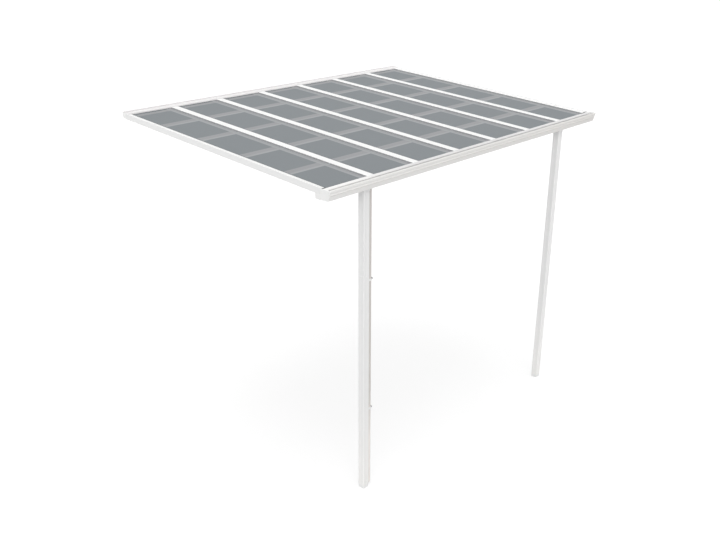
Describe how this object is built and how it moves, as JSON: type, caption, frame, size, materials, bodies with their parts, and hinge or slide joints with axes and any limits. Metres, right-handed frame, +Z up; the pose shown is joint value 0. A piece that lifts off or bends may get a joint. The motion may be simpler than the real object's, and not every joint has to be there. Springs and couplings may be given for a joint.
{
  "type": "attached patio cover",
  "caption": "Lean-to patio roof hung on a wall rail: tinted sheets between slim rafters over cross bars, a rain gutter in front on posts, and a rain pipe.",
  "frame": {"origin": "centre of the wall rail's back face, where it lies against the house wall", "axes": "+X along the wall, to the right for someone facing it; +Y into the wall; +Z up"},
  "size_m": [3.5, 2.567, 2.876],
  "materials": {
    "frame": "white powder coat on aluminium",
    "glazing": "grey tinted polycarbonate sheet",
    "seal": "black rubber glazing seal",
    "plastic": "white moulded plastic"
  },
  "bodies": {
    "root": {"cap_1": "frame", "cap_2": "frame", "cap_3": "frame", "cap_4": "frame", "cap_5": "frame", "cap_6": "frame", "cap_left": "frame", "cap_right": "frame", "crossbars_row_1": "frame", "crossbars_row_2": "frame", "crossbars_row_3": "frame", "crossbars_row_4": "frame", "eaves_strip": "frame", "glazing_seals": "seal", "gutter": "frame", "gutter_end_left": "plastic", "gutter_end_right": "plastic", "gutter_outlet": "plastic", "panel_1": "glazing", "panel_2": "glazing", "panel_3": "glazing", "panel_4": "glazing", "panel_5": "glazing", "panel_6": "glazing", "panel_7": "glazing", "pipe_clip_lower": "plastic", "pipe_clip_upper": "plastic", "post_foot_left": "plastic", "post_foot_right": "plastic", "post_head_left": "frame", "post_head_right": "frame", "post_left": "frame", "post_right": "frame", "rafter_1": "frame", "rafter_2": "frame", "rafter_3": "frame", "rafter_4": "frame", "rafter_5": "frame", "rafter_6": "frame", "rafter_left": "frame", "rafter_right": "frame", "rain_pipe": "plastic", "wall_rail": "frame", "wall_rail_end_left": "plastic", "wall_rail_end_right": "plastic"}
  },
  "joints": []
}
